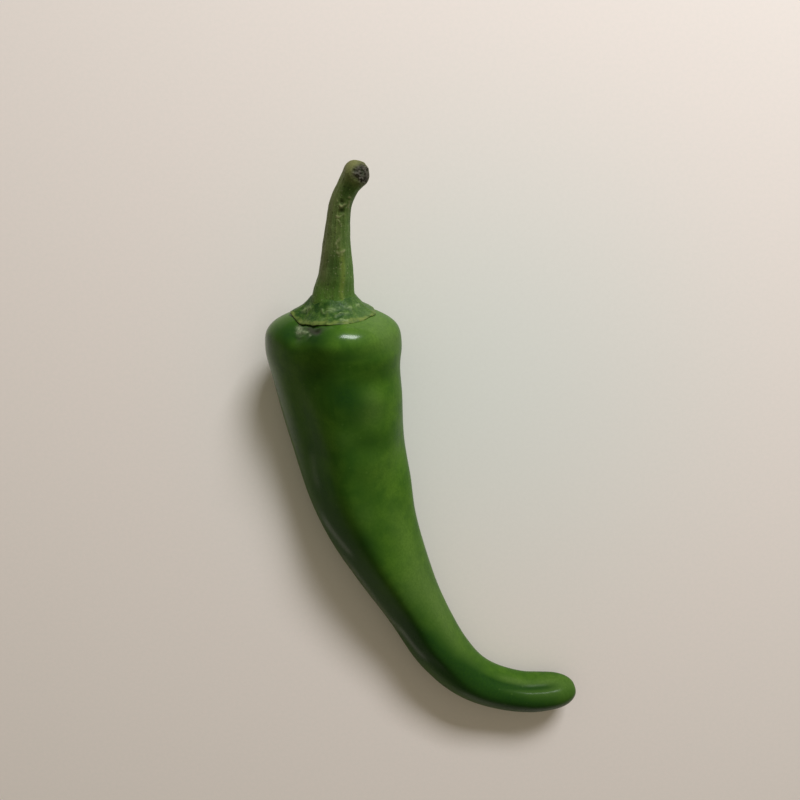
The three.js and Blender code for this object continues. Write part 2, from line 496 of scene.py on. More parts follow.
# %% [markdown]
# ## Sculpting by formula
#
# Growth leaves marks that no rule gives: a waist under the shoulders, a crease where two lobes meet,
# folds near the end, and the wrinkles round a healed wound. A sculptor would press them in by eye.
# Here each one is a soft bump or a soft line, placed by its distance along the organ and its angle
# round it, so it can be moved by one number. On the pod, nought degrees is the right side, 90 the
# top, 180 the left and 270 the table. The stalk's angles run the other way, from the left side.

# %% Helpers for sculpting
def carried(piece, name="position"):
    """What every vertex carries under a name, such as its place, in millimetres."""
    data = piece.data.attributes[name].data
    values = np.empty(len(data) * 3)
    data.foreach_get("vector", values)
    return values.reshape(-1, 3) / MM


def facing(piece):
    """The direction that the skin faces at every vertex."""
    values = np.empty(len(piece.data.vertices) * 3)
    piece.data.vertices.foreach_get("normal", values)
    return values.reshape(-1, 3)


def raise_skin(piece, heights):
    """Moves every vertex out along its normal, and none below the table that the pepper lies on."""
    places = (carried(piece) + facing(piece) * heights[:, None]) * MM
    places[:, 2] = np.maximum(places[:, 2], cad_low.z)
    piece.data.vertices.foreach_set("co", places.ravel())
    piece.data.update()
    print(piece.name, "moved by", round(heights.min(), 2), "to", round(heights.max(), 2), "mm")


def keep_mask(piece, name, values):
    """Stores one number for every vertex, for a material to read."""
    piece.data.attributes.new(name, "FLOAT", "POINT").data.foreach_set("value", np.clip(values, 0, 1))


def round_place(outline, distance, angle):
    """A distance and an angle in degrees, as a place on the organ straightened out and made round."""
    half_width = np.interp(distance, *smooth(outline)[:, :2].T)
    turned = np.radians(angle)
    return np.stack([half_width * np.cos(turned), half_width * np.sin(turned), distance], axis=-1)


class Organ:
    """The vertices of an organ by their distance along it and their angle round it."""

    def __init__(self, piece, outline):
        grown = carried(piece, "grown")
        self.outline = outline
        self.distance = grown[:, 2]
        self.angle = np.degrees(np.arctan2(grown[:, 1], grown[:, 0]))
        self.place = round_place(outline, self.distance, self.angle)

    def bump(self, distance, angle, length, width):
        """1 at a spot, and 0 a few lengths along from it or a few widths round from it."""
        off = (self.angle - angle + 180) % 360 - 180
        arc = np.hypot(self.place[:, 0], self.place[:, 1]) * np.radians(off)
        return np.exp(-((self.distance - distance) / length) ** 2 - (arc / width) ** 2)

    def line(self, spots, width):
        """1 on a line through (distance, angle) spots and 0 a few widths from it, with thin ends."""
        distance, angle = np.array(spots, float).T
        return near_line(self.place, round_place(self.outline, distance, angle), width)

    def bumps(self, spots):
        """The sum of bumps, each given by distance, angle, length, width and height."""
        return sum(height * self.bump(*spot) for *spot, height in spots)

    def lines(self, drawn):
        """The sum of lines, each given by its spots, half width and height."""
        return sum(height * self.line(spots, width) for spots, width, height in drawn)


def near_line(places, spots, width):
    """How near each place is to a line through the spots: 1 on it and 0 a few widths away."""
    points = smooth(spots)
    nearness = np.zeros(len(places))
    for share, point in zip(np.linspace(0, 1, len(points)), points):
        end = min(1.0, 5 * share, 5 * (1 - share))
        apart = ((places - point) ** 2).sum(axis=1)
        nearness = np.maximum(nearness, end * np.exp(-apart / width ** 2))
    return nearness


# %% Shoulders, waist and soft bumps of the pod
POD_BUMPS = [  # distance, angle, length, width, height
    (3.4, 172, 3.2, 4.5, 0.6), (3.0, 8, 3.0, 5.0, 0.6), (2.4, 42, 2.1, 5.0, 0.85),
    (2.4, 70, 2.1, 5.5, 0.8), (2.3, 94, 2.1, 4.5, 0.75), (9.0, 84, 4.2, 9.0, -0.75),
    (14.5, 56, 3.0, 9.0, -0.5), (17.5, 55, 2.6, 3.5, 0.3), (19.0, 5, 6.0, 5.0, 0.5),
    (22.5, 84, 3.0, 3.5, -0.3), (24.8, 46, 3.0, 4.0, 0.25), (27.0, 72, 2.5, 4.0, -0.25),
    (30.5, 56, 3.0, 4.0, 0.25), (33.0, 86, 3.0, 3.0, -0.15), (44.0, 60, 4.0, 3.5, 0.12),
    (51.0, 62, 2.5, 3.0, -0.12), (31.0, 8, 4.5, 4.0, -0.2), (40.5, 6, 5.0, 4.0, 0.3),
    (53.0, 5, 7.0, 4.0, 0.15), (70.0, 3, 6.0, 4.0, -0.35),
]
END_GROOVE = [(86, 48), (91, 50), (97, 46), (103, 44), (107, 42)]
POD_GROOVES = [  # spots along the line, half width, height
    ([(0.6, 156), (1.8, 148), (3.0, 140), (4.2, 132)], 1.8, -0.5),
    ([(1.4, 118), (2.0, 110), (2.4, 100)], 0.5, -0.25),
    ([(74, 106), (80, 96), (87, 86), (94, 90), (100, 104)], 2.4, -0.4),
    (END_GROOVE, 0.9, -0.3),
]
WRINKLES = [
    ([(1.5, 150), (1.9, 140), (1.8, 128), (2.1, 118)], 0.32, 0.2),
    ([(2.3, 146), (2.5, 136), (2.3, 126), (2.6, 114)], 0.3, 0.2),
    ([(3.0, 140), (3.2, 131), (2.9, 122)], 0.28, 0.16),
    ([(1.6, 116), (1.9, 108), (1.6, 98)], 0.25, 0.14),
    ([(2.6, 108), (2.9, 112), (3.6, 116)], 0.22, 0.12),
]
pod_organ = Organ(pod, POD_OUTLINE)
raise_skin(pod, pod_organ.bumps(POD_BUMPS) + pod_organ.lines(POD_GROOVES + WRINKLES))

# %% [markdown]
# The skin's colour and shine change from place to place too, by rules as loose as those of its
# shape. The same bumps and lines give them, but their heights are now strengths from 0 to 1, kept
# on the mesh as masks that the pod's material reads.

# %% Where the skin is deeper green, has painted shade or painted sheen, is scarred or is waxy
# Partly painted shade: some spots are a truly deeper green, but the broad band down the left flank, the
# left lobe, the waist and the bend are darkened to stand for shade where the skin faces away from the
# lamp.
DEEP_GREEN_AND_SHADE = [  # distance, angle, length, width, strength
    (3.2, 150, 2.2, 4.5, 0.85), (2.8, 106, 1.6, 3.0, 1.0), (6.6, 66, 1.8, 5.5, 0.55),
    (6.0, 88, 2.0, 4.0, 0.25), (11.0, 98, 4.0, 5.0, 0.6), (12.0, 48, 3.5, 7.0, 0.45),
    (15.5, 83, 2.5, 3.5, 0.4), (18.0, 75, 4.5, 5.0, 0.7), (25.5, 58, 3.5, 5.5, 0.5),
    (29.0, 84, 6.0, 4.0, 0.4), (35.5, 76, 4.0, 3.5, 0.35), (42.0, 54, 4.0, 4.0, 0.25),
    (45.5, 95, 4.0, 2.5, 0.5), (46.0, 145, 34.0, 9.0, 0.85), (84.0, 72, 4.0, 3.0, 0.35),
    (106.0, 60, 12.0, 9.0, 0.1),
]
# Painted shade along the underside of the bend and in the groove near the end.
FOLD_SHADE = [  # spots along the line, half width, strength
    ([(60, 116), (70, 106), (79, 87), (87, 78), (94, 92), (103, 112), (111, 120)], 4.0, 1.0),
    (END_GROOVE, 0.7, 0.6),
]
# Painted light: this pale green stands for the lamp's sheen on the lit right side and shoulder, and for
# lit bumps that face the lamp.
PAINTED_SHEEN = [
    (66.0, 40, 17.0, 4.0, 0.8), (3.5, 28, 4.5, 6.0, 0.65), (16.5, 57, 2.0, 2.5, 0.35),
    (20.0, 58, 3.0, 3.5, 0.55), (24.5, 88, 2.0, 2.5, 0.25), (31.0, 52, 5.0, 5.0, 0.2),
    (40.0, 84, 3.0, 2.5, 0.25), (45.0, 45, 8.0, 4.0, 0.2), (59.0, 70, 5.0, 3.0, 0.35),
    (96.5, 44, 4.0, 2.0, 0.4), (107.0, 42, 5.0, 3.0, 0.6),
]
# Painted highlights: two pale lines along the ridges near the pod's end.
PAINTED_RIDGE_HIGHLIGHTS = [
    ([(90, 64), (96, 63), (102, 63), (107, 60)], 1.1, 0.5),
    ([(90, 34), (96, 30), (102, 30), (107, 28)], 0.9, 0.5),
]
WAXY = [
    (15.0, 178, 13.0, 2.6, 0.95), (5.0, 165, 4.5, 5.0, 0.42), (22.0, 128, 12.0, 4.5, 0.28),
    (2.6, 66, 2.6, 9.0, 0.43), (2.2, 134, 1.1, 3.5, 0.5), (104.0, 90, 9.0, 5.0, 0.06),
]
WAXY_STREAKS = [
    ([(39, 168), (43, 158), (46, 148), (48, 140)], 1.3, 0.5),
    ([(46, 174), (56, 166), (63, 168), (70, 158)], 1.3, 0.6),
    ([(66, 150), (72, 138), (76, 122)], 1.0, 0.5),
    ([(85, 122), (89, 114), (94, 108)], 1.0, 0.2),
    ([(27, 146), (31, 152), (34, 150)], 1.4, 0.35),
]
# A dark scar line under the calyx's rim, darkened further with painted shade where the gap under the rim
# lies.
SCAR_AND_GAP_SHADE = [([(1.6, 126), (2.0, 116), (2.2, 106), (1.8, 97)], 0.75, 1.0)]
# Pale healed skin round the wound, painted lighter still to stand for glints of the lamp on its wrinkles.
PALE_SCARS_AND_GLINTS = [
    ([(1.9, 149), (2.1, 141), (2.1, 134)], 0.5, 1.0),
    ([(2.5, 144), (2.6, 137), (2.4, 129)], 0.35, 1.0),
    ([(2.3, 129), (2.4, 123), (2.2, 118)], 0.25, 1.0),
    ([(2.5, 115), (2.7, 112)], 0.2, 1.0),
]
for name, spots, drawn in (
    ("deep_green_and_shade", DEEP_GREEN_AND_SHADE, FOLD_SHADE), ("painted_sheen", PAINTED_SHEEN, PAINTED_RIDGE_HIGHLIGHTS), ("wax", WAXY, WAXY_STREAKS),
    ("scar", [], SCAR_AND_GAP_SHADE), ("pale_scar_and_glint", [], PALE_SCARS_AND_GLINTS),
):
    keep_mask(pod, name, pod_organ.lines(drawn) + pod_organ.bumps(spots))
print("the pod carries", [kept.name for kept in pod.data.attributes if kept.data_type == "FLOAT"])

# %% [markdown]
# ## The calyx
#
# The calyx is what is left of the flower: a thin leathery disc that lies over the pod's shoulders,
# with a few short teeth on its rim. It has to fit the skin below it everywhere, even in the
# crease, and a disc that is modelled flat and pressed on never does. So the tree grows it on the
# skin: each point travels from the middle over the shoulder, drops to the nearest skin, and is then
# lifted by a section that gives the collar round the stalk, the thin blade and its rolled rim.

# %% The tree for the calyx
CALYX_REACH = 7.9  # from the middle of the calyx to its rim, measured over the shoulder
CALYX_SECTION = [  # travel over the shoulder and lift over the skin, from the top to the underside
    (0.0, 3.0), (2.4, 2.9), (3.6, 2.5), (4.4, 1.85), (5.3, 1.2), (6.3, 0.72), (7.2, 0.44),
    (7.75, 0.3), (8.0, 0.17), (7.9, 0.06), (7.4, 0.0), (6.0, -0.05), (3.0, -0.2), (0.0, -0.3),
]
CALYX_TEETH = [  # angle, how far it reaches past the rim, how pointed it is
    (174, 0.1, 30), (138, 0.85, 12), (92, 0.5, 8), (52, 0.5, 10), (8, 0.45, 25), (-52, 0.7, 20),
    (-118, 0.8, 20),
]
CALYX_CURLS = [  # angle, how far the rim stands up there, how narrow that is
    (178, 0.25, 30), (118, 0.25, 10), (70, -0.2, 6), (6, 0.05, 25), (-52, 0.4, 18), (-118, 0.4, 18),
]


def bumps_round(tree, angle, bumps):
    """The sum of soft bumps round an organ, in metres."""
    total = 0.0
    for at, height, narrowness in bumps:
        towards = calc(tree, "COSINE", calc(tree, "SUBTRACT", angle, math.radians(at)))
        power = calc(tree, "MULTIPLY", calc(tree, "SUBTRACT", towards, 1.0), narrowness)
        total = calc(tree, "MULTIPLY_ADD", calc(tree, "EXPONENT", power), height * MM, total)
    return total


def capping_disc_tree():
    """A toothed leathery disc that lies on a skin, grown round the start of the skin's spine."""
    tree, given, result = new_tree(
        "capping_disc", "GeometryNodeTree",
        [("Spine", "Object", None), ("Outline", "Object", None), ("Skin", "Object", None),
         ("Section", "Object", None), ("Material", "Material", None), ("Rings", "Int", 100),
         ("Sides", "Int", 48), ("Reach", "Float", 0.01), *SECTION_INPUTS,
         ("Crinkle Height", "Float", 0.0), ("Crinkle Length", "Float", 0.01), ("Seed", "Float", 0.0)],
        [("Geometry", "Geometry")],
    )
    mesh, angle, turn, share = rolled_grid(tree, given)
    spine, outline, skin, section = guides(tree, given, "Spine", "Outline", "Skin", "Section")
    blade = add(tree, "ShaderNodeSeparateXYZ", {0: along(tree, section, "FACTOR", share)}).outputs
    outward = calc(tree, "DIVIDE", blade["X"], given["Reach"])
    rim = calc(tree, "POWER", outward, 4.0)
    teeth = calc(tree, "MULTIPLY", bumps_round(tree, angle, CALYX_TEETH), rim)
    curls = calc(tree, "MULTIPLY", bumps_round(tree, angle, CALYX_CURLS), rim)
    travel = calc(tree, "ADD", blade["X"], teeth)
    over = point_of_section(tree, given, spine, along(tree, outline, "LENGTH", travel), angle)["Place"]

    crinkle = add(tree, "ShaderNodeTexNoise",
                  {"Vector": over, "W": given["Seed"], "Detail": 2.0,
                   "Scale": calc(tree, "DIVIDE", 1.0, given["Crinkle Length"])},
                  noise_dimensions="4D")
    uneven = calc(tree, "SUBTRACT", crinkle.outputs[0], 0.5)
    uneven = calc(tree, "MULTIPLY", uneven, given["Crinkle Height"])
    uneven = calc(tree, "MULTIPLY", uneven, outward)
    lift = calc(tree, "ADD", calc(tree, "ADD", blade["Y"], curls), uneven)
    nearest = add(tree, "GeometryNodeProximity", {0: skin, "Sample Position": over},
                  target_element="FACES")
    normal = tree.nodes.new("GeometryNodeInputNormal").outputs[0]
    outwards = add(tree, "GeometryNodeSampleNearestSurface",
                   {"Mesh": skin, "Value": normal, "Sample Position": over}, data_type="FLOAT_VECTOR")
    lifted = scaled(tree, outwards.outputs["Value"], lift)
    place = vector_calc(tree, "ADD", nearest.outputs["Position"], lifted)

    flat = add(tree, "ShaderNodeCombineXYZ",
               {0: calc(tree, "MULTIPLY", travel, calc(tree, "COSINE", angle)),
                1: calc(tree, "MULTIPLY", travel, calc(tree, "SINE", angle)), 2: lift})
    mesh = keep_growth(tree, mesh, flat.outputs[0], turn, share)
    placed = add(tree, "GeometryNodeSetPosition", {"Geometry": mesh, "Position": place})
    close_and_finish(tree, placed.outputs[0], given["Material"], result)
    return tree


calyx_section = line_object("calyx_section", CALYX_SECTION)
calyx = grow("calyx_cap", capping_disc_tree(), {
    "Spine": pod_spine, "Outline": pod_outline, "Skin": pod, "Section": calyx_section,
    "Material": calyx_leaf, "Rings": 130, "Sides": 288, "Reach": CALYX_REACH * MM,
    "Crinkle Height": 0.4 * MM, "Crinkle Length": 1.6 * MM, "Seed": 5.0, **POD_SHAPE,
})

# %% [markdown]
# A vein runs out to each tooth, and the blade has dried into ragged pale marks. Both stand up a
# little. The marks are lines drawn on the calyx spread flat, and noise makes them wander and
# break, because a drawn line on a leaf looks like a scratch.

# %% Veins and dry marks on the calyx
COLLAR_ENDS = 3.6  # travel from the middle of the calyx, as is RIM_STARTS
RIM_STARTS = 7.5
RIM_FADES = 0.35
VEIN_WIDTH = 0.32
VEIN_HEIGHT = 0.12
WANDERING_SEED = 4
flat_calyx = carried(calyx, "grown")
travel = np.hypot(flat_calyx[:, 0], flat_calyx[:, 1])
calyx_angle = np.arctan2(flat_calyx[:, 1], flat_calyx[:, 0])
on_top = np.clip((flat_calyx[:, 2] - 0.1) / 0.1, 0, 1)
past_collar = np.clip((travel - COLLAR_ENDS) / 1.5, 0, 1)
veins = sum(
    np.exp(-((travel * np.sin(calyx_angle - math.radians(at))) / VEIN_WIDTH) ** 2)
    * (np.cos(calyx_angle - math.radians(at)) > 0)
    for at, reach, narrowness in CALYX_TEETH
) * past_collar * on_top
DRY_MARKS = [  # spots on the flattened calyx, half width, height
    ([(-1.35, 4.7), (-1.1, 5.3), (-0.8, 5.8)], 0.2, 0.2),
    ([(-1.1, 7.0), (-1.0, 7.4)], 0.28, 0.2),
    ([(-0.85, 5.7), (-0.1, 5.5), (0.6, 5.6)], 0.2, 0.15),
    ([(1.0, 6.9), (1.1, 6.4), (1.5, 6.0), (2.4, 5.7), (3.3, 5.5)], 0.2, 0.3),
    ([(1.6, 7.2), (2.4, 7.3), (3.2, 7.2)], 0.26, 0.2),
    ([(-5.6, 1.9), (-4.6, 2.5), (-3.8, 3.4)], 0.65, 0.2),
    ([(4.9, 1.7), (4.6, 2.6), (4.2, 3.4)], 0.25, 0.25),
    ([(-0.3, 4.8), (0.4, 5.0), (1.1, 5.1)], 0.22, 0.12),
    ([(2.1, 4.4), (2.9, 4.3), (3.6, 4.0)], 0.25, 0.1),
]


def wandering(places, size, amount):
    """Small smooth shifts of places, in millimetres, so that a line through them turns ragged."""
    return np.array([noise.noise_vector(Vector(place) / size) for place in places]) * amount


noise.seed_set(WANDERING_SEED)  # without a seed, this noise would differ on every run
ragged = flat_calyx * (1, 1, 0) + wandering(flat_calyx, 0.8, 0.25)
broken = np.clip(0.85 + 1.3 * wandering(flat_calyx, 0.5, 0.8)[:, 0], 0, 1)
marks = [(height, broken * on_top * near_line(ragged, [(x, y, 0) for x, y in spots], width))
         for spots, width, height in DRY_MARKS]
raise_skin(calyx, sum(height * mark for height, mark in marks) + VEIN_HEIGHT * veins)
rim_starts = RIM_STARTS + wandering(flat_calyx, 1.2, 0.5)[:, 1]
keep_mask(calyx, "dry", sum(mark for height, mark in marks))
keep_mask(calyx, "vein", veins * broken)
keep_mask(calyx, "rim", (travel - rim_starts) / RIM_FADES)

# %% [markdown]
# ## The stalk
#
# The stalk grows out of the calyx with a flared foot, thins in the middle and swells again where it
# left the plant. Five low ribs run up it, with finer ones between them. The same tree as the pod's
# makes it, with an outline that closes in a round knob.

# %% The stalk's middle line and outline
neck, below_neck = (Vector(point) for point in POD_ROUTE[:2])
out_of_pod = (neck - below_neck).normalized()
STALK_ROUTE = [
    tuple(neck + out_of_pod * 0.8), tuple(neck + out_of_pod * 3.2 + Vector((0.15, 0, 0))),
    (-18.0, 37.6, 16.4), (-17.45, 43.7, 19.6), (-16.3, 49.8, 22.6), (-14.6, 52.7, 24.3),
    (-12.0, 55.5, 26.0),
]
STALK_OUTLINE = [  # distance, half width
    (0.0, 0.0), (0.05, 3.0), (0.2, 4.3), (1.2, 4.2), (2.4, 3.95), (4.0, 3.62), (6.0, 3.3), (9.0, 2.88),
    (13.0, 2.42), (17.0, 2.07), (21.0, 1.9), (23.2, 1.92), (24.4, 2.12), (25.5, 2.35), (26.4, 2.22),
    (27.1, 1.78), (27.5, 1.33), (27.8, 0.75), (27.9, 0.0),
]
stalk_spine = line_object("stalk_spine", STALK_ROUTE, [(0, 0), (30, 40)])
stalk_length = sum(s.calc_length() for s in stalk_spine.data.splines) / MM
stretch = stalk_length / STALK_OUTLINE[-1][0]
NEVER_PRESSED = 2.0  # a limit so far past the section's edge that the stalk keeps its full round
stalk_outline = line_object("stalk_outline", [(d * stretch, w, NEVER_PRESSED) for d, w in STALK_OUTLINE])
stalk = grow("stalk_stem", lobed_sweep, {
    "Spine": stalk_spine, "Outline": stalk_outline, "Material": stalk_bark, "Rings": 300, "Sides": 144,
    "Swell Height": 0.25 * MM, "Swell Length": 2.5 * MM, "Seed": 8.0,
    "Lobes": 5.0, "Lobe Depth": 0.035, "Ridge": math.radians(110), "Crown Reach": NEVER_PRESSED,
})
print("the stalk is", round(stalk_length, 1), "mm long along its middle line")

# %% Ribs, scars and pits of the stalk
RIBS_STOP = 25.5  # distance at which the fine ribs have faded into the knob
stalk_organ = Organ(stalk, [(d * stretch, w) for d, w in STALK_OUTLINE])
turned = np.radians(stalk_organ.angle)
wander = np.sin(stalk_organ.distance * 0.35) * 0.25
fine_ribs = np.cos(17 * (turned + wander * 0.4)) * 0.028 + np.cos(29 * turned + 2 * wander) * 0.014
fine_ribs *= np.clip(stalk_organ.distance / 3, 0, 1)
fine_ribs *= np.clip((RIBS_STOP - stalk_organ.distance) / 2, 0, 1)
STALK_SCARS = [  # spots along the line, half width, height
    ([(21.2, 132), (20.4, 116), (19.8, 100), (20.4, 84), (21.2, 76)], 0.22, 0.08),
    ([(19.9, 100), (19.2, 96)], 0.3, 0.06),
    ([(18.4, 120), (18.0, 100), (18.3, 84)], 0.18, 0.06),
    ([(17.7, 126), (17.3, 104), (17.6, 86)], 0.18, 0.06),
    ([(16.9, 120), (16.5, 100)], 0.18, 0.06),
    ([(14.6, 110), (13.2, 100), (12.2, 106)], 0.3, 0.05),
    ([(12.0, 128), (11.5, 110), (11.9, 92)], 0.26, 0.05),
    ([(9.6, 114), (8.8, 106), (8.2, 110)], 0.2, 0.04),
    ([(22.6, 140), (21.0, 142), (19.2, 146)], 0.25, 0.05),
]
STALK_PITS = [(20.7, 100), (19.1, 108)]
round_stalk = stalk_organ.place
stalk_organ.place = round_stalk + wandering(round_stalk, 1.1, 0.45)
broken = np.clip(0.7 + 2.0 * wandering(round_stalk, 0.6, 1.0)[:, 0], 0, 1)
scars = [(height, broken * stalk_organ.line(spots, width)) for spots, width, height in STALK_SCARS]
stalk_organ.place = round_stalk
pits = sum(stalk_organ.bump(distance, angle, 0.45, 0.4) for distance, angle in STALK_PITS)
raise_skin(stalk, fine_ribs + sum(height * scar for height, scar in scars) - 0.18 * pits)

# %% [markdown]
# The knob broke off the plant on one side only. There the bark is gone and the wood has shrunk and
# crumbled, so every vertex that faces that way sinks in a little, and noise makes the floor rough.

# %% The bare, broken end of the stalk
END_FACES = np.array((0.75, -0.12, 0.65))  # where the bare end looks
KNOB_STARTS = 24.6
SHRINKAGE = 0.3  # how deep the bare end lies, and how rough it is
near_end = np.clip((stalk_organ.distance - KNOB_STARTS * stretch) / 1.2, 0, 1)
bare = np.clip((facing(stalk) @ END_FACES - 0.35) / 0.4, 0, 1) * near_end
crumbs = np.array([
    noise.noise(Vector(place) * 1.3) + 0.6 * noise.noise(Vector(place) * 2.9) for place in carried(stalk)
])
raise_skin(stalk, bare * (SHRINKAGE * crumbs - SHRINKAGE))
keep_mask(stalk, "cut", bare)
# On the stalk this mask holds only patches of a deeper green.
keep_mask(stalk, "deep_green_and_shade", stalk_organ.bumps([(8.6, 84, 2.8, 1.3, 1.0), (23.0, 100, 1.6, 0.8, 0.8)]))
keep_mask(stalk, "stripe", stalk_organ.line([(1.0, 128), (5.0, 121), (9.0, 120), (13.0, 116)], 0.5))
keep_mask(stalk, "scar", sum(scar for height, scar in scars))
# Painted shade: the pits and the deepest hollows of the broken end are darkened.
keep_mask(stalk, "pit_shade", pits + bare * np.clip(-2.5 * crumbs, 0, 1))

# %% [markdown]
# ## Shared effects
#
# Skin, leaf and bark differ in colour, but age and growth mark them in the same ways: soft patches
# with a fine grain, streaks that run with the growth, small specks, and a surface of tiny cells.
# Each effect is one node group with its own inputs, so a material only says how much of it there
# is. They all read where a point was before the organ bent, in millimetres, which has no seam.

# %% Groups that materials share
def noise_of(tree, place, size, detail=2.0):
    """Soft noise from 0 to 1 whose patches are about as large as the size."""
    made = add(tree, "ShaderNodeTexNoise",
               {"Vector": place, "Scale": calc(tree, "DIVIDE", 1.0, size), "Detail": detail,
                "Roughness": 0.55})
    return made.outputs[0]


def spread(tree, value, low, high):
    """Stretches the part of a value between low and high to 0 to 1, with soft ends."""
    made = add(tree, "ShaderNodeMapRange", {"Value": value, "From Min": low, "From Max": high},
               interpolation_type="SMOOTHSTEP")
    return made.outputs[0]


def patches_group():
    """Large soft patches and a fine grain."""
    tree, given, result = new_tree(
        "patches_and_grain", "ShaderNodeTree",
        [("Place", "Vector", None), ("Patch Size", "Float", 6.0), ("Grain Size", "Float", 0.5)],
        [("Patches", "Float"), ("Grain", "Float")])
    for output, (size, detail, low, high) in enumerate((
        (given["Patch Size"], 2.0, 0.32, 0.68), (given["Grain Size"], 3.0, 0.3, 0.7),
    )):
        clouds = noise_of(tree, given["Place"], size, detail)
        tree.links.new(spread(tree, clouds, low, high), result[output])
    return tree


def streaks_group():
    """Streaks that run along the organ."""
    tree, given, result = new_tree(
        "growth_streaks", "ShaderNodeTree",
        [("Place", "Vector", None), ("Width", "Float", 0.5), ("Slimness", "Float", 8.0)],
        [("Streaks", "Float")])
    at = add(tree, "ShaderNodeSeparateXYZ", {0: given["Place"]})
    shortened = calc(tree, "DIVIDE", at.outputs[2], given["Slimness"])
    slim = add(tree, "ShaderNodeCombineXYZ", {0: at.outputs[0], 1: at.outputs[1], 2: shortened})
    clouds = noise_of(tree, slim.outputs[0], given["Width"], 3.0)
    tree.links.new(spread(tree, clouds, 0.35, 0.65), result[0])
    return tree


def specks_group():
    """Small round specks, scattered and of uneven size."""
    tree, given, result = new_tree(
        "specks", "ShaderNodeTree",
        [("Place", "Vector", None), ("Spacing", "Float", 1.0), ("Size", "Float", 0.2),
         ("Share", "Float", 0.5)],
        [("Specks", "Float")])
    cells = add(tree, "ShaderNodeTexVoronoi",
                {"Vector": given["Place"], "Scale": calc(tree, "DIVIDE", 1.0, given["Spacing"])})
    chance = add(tree, "ShaderNodeSeparateColor", {0: cells.outputs["Color"]})
    shown = calc(tree, "LESS_THAN", chance.outputs[0], given["Share"])
    size = calc(tree, "MULTIPLY", given["Size"], calc(tree, "ADD", chance.outputs[1], 0.4))
    off_centre = calc(tree, "DIVIDE", cells.outputs["Distance"], size)
    inside = calc(tree, "SUBTRACT", 1.0, spread(tree, off_centre, 0.5, 1.0))
    tree.links.new(calc(tree, "MULTIPLY", inside, shown), result[0])
    return tree


def cells_group():
    """The height of a surface of tiny rounded cells."""
    tree, given, result = new_tree(
        "skin_cells", "ShaderNodeTree",
        [("Place", "Vector", None), ("Cell Size", "Float", 0.3)],
        [("Height", "Float")])
    cells = add(tree, "ShaderNodeTexVoronoi",
                {"Vector": given["Place"], "Scale": calc(tree, "DIVIDE", 1.0, given["Cell Size"]),
                 "Smoothness": 0.6}, feature="SMOOTH_F1")
    dents = calc(tree, "SUBTRACT", 1.0, cells.outputs["Distance"])
    uneven = noise_of(tree, given["Place"], calc(tree, "MULTIPLY", given["Cell Size"], 5.0))
    tree.links.new(calc(tree, "MULTIPLY_ADD", uneven, 1.5, dents), result[0])
    return tree


patches, streaks, specks, skin_cells = patches_group(), streaks_group(), specks_group(), cells_group()
print("the materials share", [group.name for group in (patches, streaks, specks, skin_cells)])

# %% Helpers for materials
def effect(tree, group, place, **sizes):
    """The outputs of a shared group. Sizes are in millimetres, under their input names."""
    made = add(tree, "ShaderNodeGroup", node_tree=group)
    tree.links.new(place, made.inputs["Place"])
    for name, value in sizes.items():
        made.inputs[name.replace("_", " ")].default_value = value
    return made.outputs


def painted(tree, share, under, over):
    """The under colour, with the over colour laid on it where the share is high."""
    made = tree.nodes.new("ShaderNodeMix")
    made.data_type = "RGBA"
    for socket, value in zip((made.inputs[0], made.inputs[6], made.inputs[7]), (share, under, over)):
        if isinstance(value, bpy.types.NodeSocket):
            tree.links.new(value, socket)
        else:
            socket.default_value = value if isinstance(value, float) else (*value, 1.0)
    return made.outputs[2]


def mask(tree, name):
    """The number that the vertices carry under a name."""
    return add(tree, "ShaderNodeAttribute", attribute_name=name).outputs["Fac"]


def layered(tree, colour, layers):
    """The colour with others laid on it in turn. A layer is a share, or the name of a mask that
    gives it, then a strength, and a colour."""
    for share, strength, over in layers:
        share = mask(tree, share) if isinstance(share, str) else share
        colour = painted(tree, calc(tree, "MULTIPLY", share, strength), colour, over)
    return colour


def start_look(look):
    """Opens a material. Returns its tree, its shader and the straightened place in millimetres."""
    look.use_nodes = True
    tree = look.node_tree
    grown = add(tree, "ShaderNodeAttribute", attribute_name="grown").outputs["Vector"]
    return tree, tree.nodes["Principled BSDF"], scaled(tree, grown, 1 / MM)


def finish_look(tree, shader, colour, roughness, height, depth, shine):
    """Links colour, roughness and a bump whose depth is in millimetres, and sets the shine."""
    bump = add(tree, "ShaderNodeBump", {"Height": height, "Strength": 1.0, "Distance": depth * MM})
    tree.links.new(colour, shader.inputs["Base Color"])
    tree.links.new(roughness, shader.inputs["Roughness"])
    tree.links.new(bump.outputs[0], shader.inputs["Normal"])
    shader.inputs["Specular IOR Level"].default_value = shine


# %% [markdown]
# ## Pod skin
#
# The skin is a deep green, with soft patches of a deeper green. Light is painted into it as well:
# a pale green sheen on the lit side and the shoulder, pale highlights along two ridges near the
# end, glints on the wrinkles of the healed wound, and painted shade on the sides that face away from
# the lamp, in the gap under the calyx and along the underside of the bend. A gloss that is even all
# over reads as plastic. So the green itself reflects little, and a clear coat of wax shines only
# where its mask says: on the shoulders, down the flank and along a few folds. Tiny cells break the
# highlight up.

# %% The pod's material
tree, shader, place = start_look(pod_skin)
soft = effect(tree, patches, place, Patch_Size=3.6, Grain_Size=0.45)
run = effect(tree, streaks, place, Width=1.3, Slimness=7.0)[0]
dots = effect(tree, specks, place, Spacing=1.5, Size=0.16, Share=0.45)[0]
